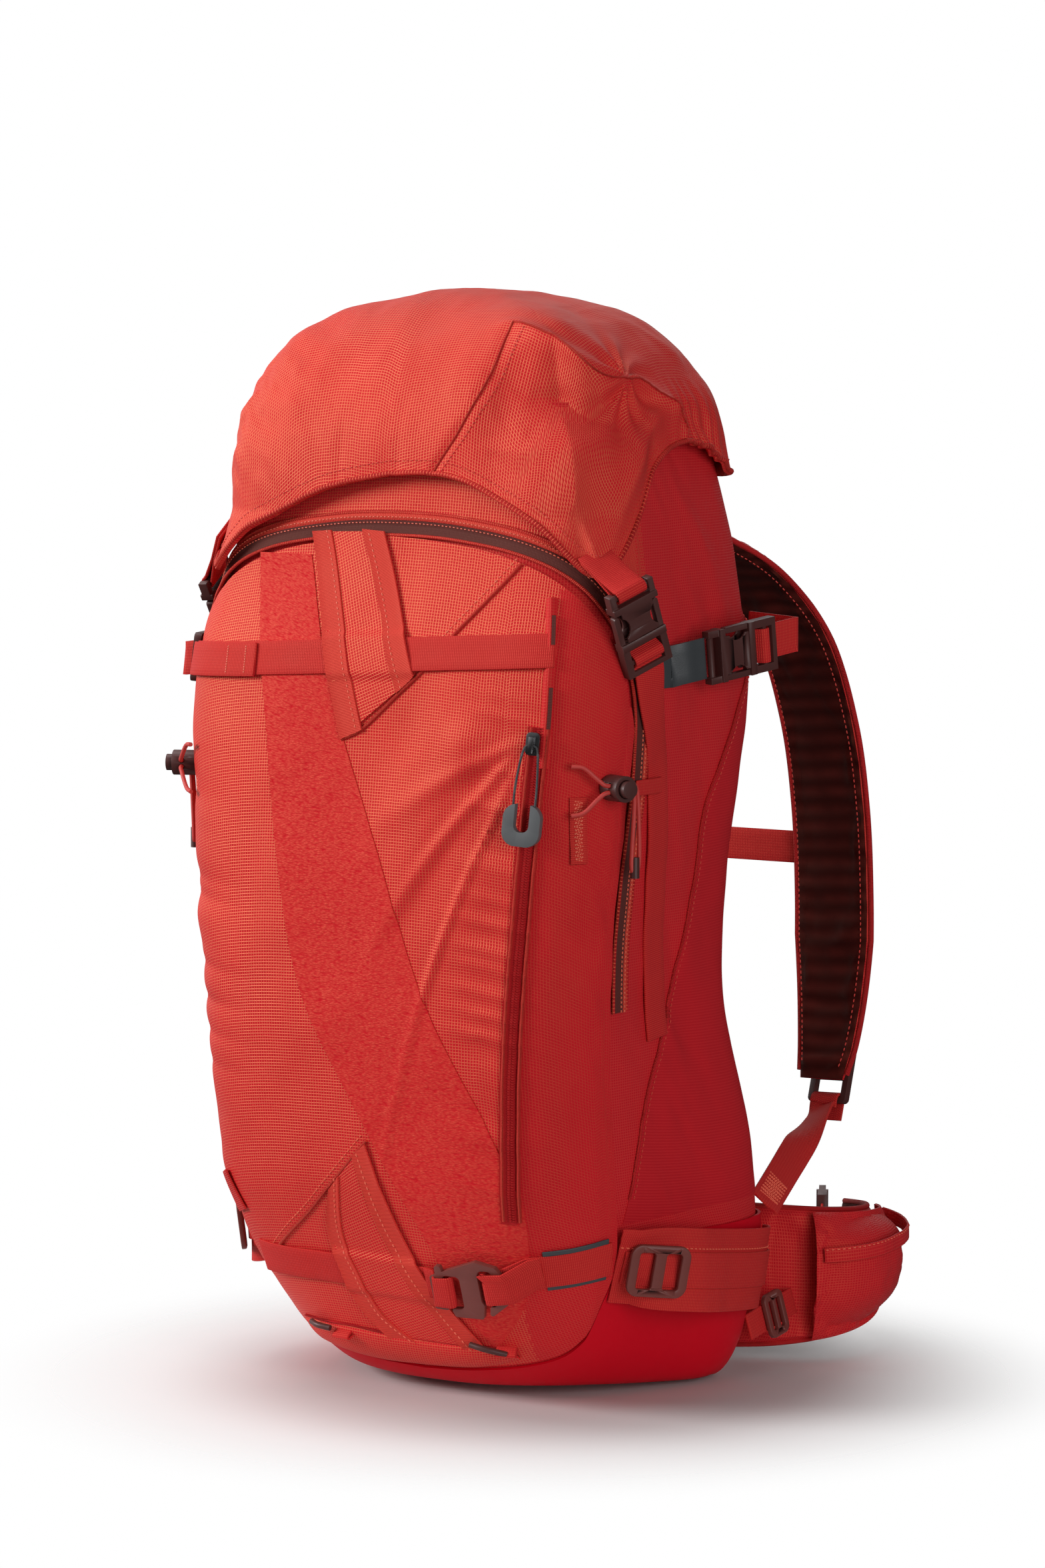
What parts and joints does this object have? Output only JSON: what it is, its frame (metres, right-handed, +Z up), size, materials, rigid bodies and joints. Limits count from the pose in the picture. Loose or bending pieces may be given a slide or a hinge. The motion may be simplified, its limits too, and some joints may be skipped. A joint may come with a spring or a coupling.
{
  "type": "ski touring backpack",
  "caption": "Panel-loading ski touring backpack with a hinged lid, zips, ski loops, axe cords, compression buckle, shoulder harness and winged hip belt.",
  "frame": {"origin": "on the ground under the bag, at the centre of its flat base", "axes": "+Z up the bag, -Y towards the front panel, +Y towards the harness, +X to the side with the compression buckle"},
  "size_m": [0.3486, 0.467, 0.6479],
  "materials": {
    "shell_fabric": "ripstop",
    "boot_fabric": "coated",
    "webbing": "woven",
    "zip_tape": "woven",
    "zip_metal": "gunmetal",
    "cord": "braided",
    "shock_cord": "braided",
    "grip_rubber": "matte",
    "hook_metal": "satin",
    "buckle_plastic": "satin",
    "wear_fabric": "coated",
    "pad_mesh": "quilted",
    "frame_plastic": "matte",
    "frame_alloy": "satin"
  },
  "bodies": {
    "pack": {"main_bag": "shell_fabric", "bag_floor": "shell_fabric", "front_panel": "shell_fabric", "panel_trim": "shell_fabric", "shoulder_yoke": "shell_fabric", "base_boot": "boot_fabric", "collar": "boot_fabric", "front_upper_strap": "webbing", "side_strap_left": "webbing", "front_lower_strap": "webbing", "hook_loop_strap": "webbing", "ski_loop_right": "webbing", "ski_loop_left": "webbing", "compression_strap": "webbing", "lid_straps": "webbing", "webbing_tabs": "webbing", "haul_loop": "webbing", "harness_webbing": "webbing", "stabiliser_straps": "webbing", "panel_zip": "zip_tape", "stash_zip": "zip_tape", "cord_springs": "zip_metal", "collar_cord": "cord", "axe_cord_right": "shock_cord", "axe_cord_left": "shock_cord", "gear_hook": "hook_metal", "stabiliser_triglides": "hook_metal", "upper_adjuster_left": "buckle_plastic", "compression_buckle_female": "buckle_plastic", "lid_buckle_males": "buckle_plastic", "cord_locks": "buckle_plastic", "wear_patches": "wear_fabric", "back_pad": "pad_mesh", "lumbar_pad": "pad_mesh", "frame_sheet": "frame_plastic", "frame_stays": "frame_alloy"},
    "lid": {"lid_shell": "shell_fabric", "lid_liner": "boot_fabric", "lid_webbing": "webbing", "lid_buckle_females": "buckle_plastic"},
    "harness": {"shoulder_straps": "pad_mesh", "strap_adjusters": "buckle_plastic"},
    "sternum": {"sternum_strap": "webbing", "sternum_buckle": "buckle_plastic"},
    "hip_right": {"hip_wing_right": "shell_fabric", "hip_pocket": "shell_fabric", "hip_strap_right": "webbing", "hip_buckle_male": "buckle_plastic"},
    "hip_left": {"hip_wing_left": "shell_fabric", "hip_strap_left": "webbing", "hip_buckle_female": "buckle_plastic"},
    "stash_pull": {"stash_zip_slider": "zip_metal", "stash_pull_cord": "cord", "stash_pull_grip": "grip_rubber"},
    "panel_pull": {"panel_zip_slider": "zip_metal"},
    "button_right": {"cord_button_right": "buckle_plastic"},
    "button_left": {"cord_button_left": "buckle_plastic"},
    "side_clip": {"compression_buckle_male": "buckle_plastic"},
    "glide_right": {"ski_triglide_right": "hook_metal"},
    "glide_left": {"ski_triglide_left": "hook_metal"}
  },
  "joints": [
    {"name": "lid_hinge", "type": "hinge", "parent": "pack", "child": "lid", "pos_m": [0, 0.1025, 0.538], "axis": [-1, 0, 0], "range_deg": [0, 90]},
    {"name": "harness_swing", "type": "hinge", "parent": "pack", "child": "harness", "pos_m": [0, 0.11845, 0.505], "axis": [1, 0, 0], "range_deg": [-10, 20], "stiffness_Nm_per_rad": 10, "deforming": ["harness_webbing"]},
    {"name": "sternum_slide", "type": "slide", "parent": "harness", "child": "sternum", "axis": [0, 0, 1], "range_m": [-0.015, 0.015]},
    {"name": "hip_right_fold", "type": "hinge", "parent": "pack", "child": "hip_right", "pos_m": [0.092, 0.136, 0.05], "axis": [0, 0, 1], "range_deg": [-12, 10], "deforming": ["stabiliser_straps", "stabiliser_triglides"]},
    {"name": "hip_left_fold", "type": "hinge", "parent": "pack", "child": "hip_left", "pos_m": [-0.092, 0.136, 0.05], "axis": [0, 0, -1], "range_deg": [-12, 10], "deforming": ["stabiliser_straps", "stabiliser_triglides"]},
    {"name": "stash_zip_run", "type": "slide", "parent": "pack", "child": "stash_pull", "axis": [-0.076, -0.0639, -0.9951], "range_m": [0, 0.08]},
    {"name": "panel_zip_run", "type": "slide", "parent": "pack", "child": "panel_pull", "axis": [-0.0852, 0.0459, 0.9953], "range_m": [0, 0.1]},
    {"name": "button_right_press", "type": "slide", "parent": "pack", "child": "button_right", "axis": [-0.9252, 0.3795, 0], "range_m": [0, 0.003], "stiffness_N_per_m": 250, "deforming": ["cord_springs"]},
    {"name": "button_left_press", "type": "slide", "parent": "pack", "child": "button_left", "axis": [0.9252, 0.3795, 0], "range_m": [0, 0.003], "stiffness_N_per_m": 250, "deforming": ["cord_springs"]},
    {"name": "side_clip_pull", "type": "slide", "parent": "pack", "child": "side_clip", "axis": [0.301, 0.9432, 0.1405], "range_m": [0, 0.022], "deforming": ["compression_strap"]},
    {"name": "glide_right_slide", "type": "slide", "parent": "pack", "child": "glide_right", "axis": [0.5622, 0.8184, -0.1187], "range_m": [-0.003, 0.008]},
    {"name": "glide_left_slide", "type": "slide", "parent": "pack", "child": "glide_left", "axis": [-0.5622, 0.8184, -0.1187], "range_m": [-0.003, 0.008]}
  ]
}
